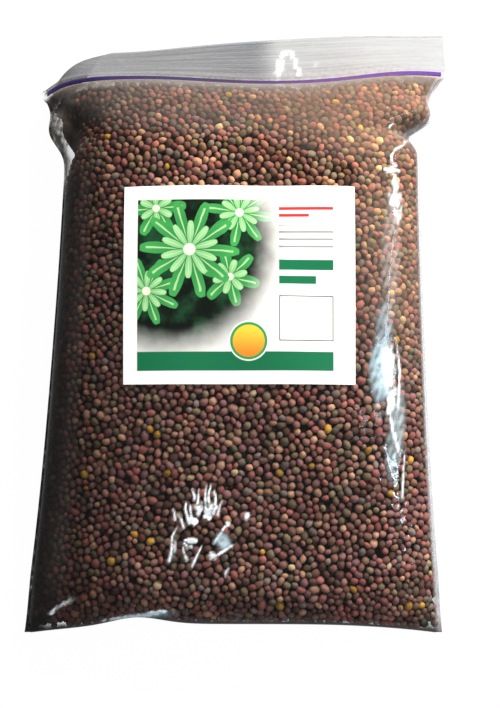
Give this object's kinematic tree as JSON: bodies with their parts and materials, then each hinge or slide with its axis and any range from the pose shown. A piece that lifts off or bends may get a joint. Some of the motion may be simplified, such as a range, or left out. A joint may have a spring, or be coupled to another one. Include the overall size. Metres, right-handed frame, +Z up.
{
  "type": "zip-seal bag of radish seeds",
  "caption": "Clear press-to-close plastic bag packed with small round seeds, lying on its back, with a plain paper label on its front.",
  "frame": {"origin": "on the surface that the bag lies on, under the middle of the bag's box", "axes": "+Z up through the labelled front, +Y from the bottom fold to the zip, +X to the right as the label is read"},
  "size_m": [0.1558, 0.2244, 0.0348],
  "materials": {
    "clear_film": "gloss",
    "radish_seed": "satin",
    "violet_zip": "satin",
    "label_paper": "satin"
  },
  "bodies": {
    "root": {"bag_film": "clear_film", "seeds": "radish_seed", "zip_channel": "violet_zip", "zip_rib": "violet_zip", "label": "label_paper"}
  },
  "joints": []
}
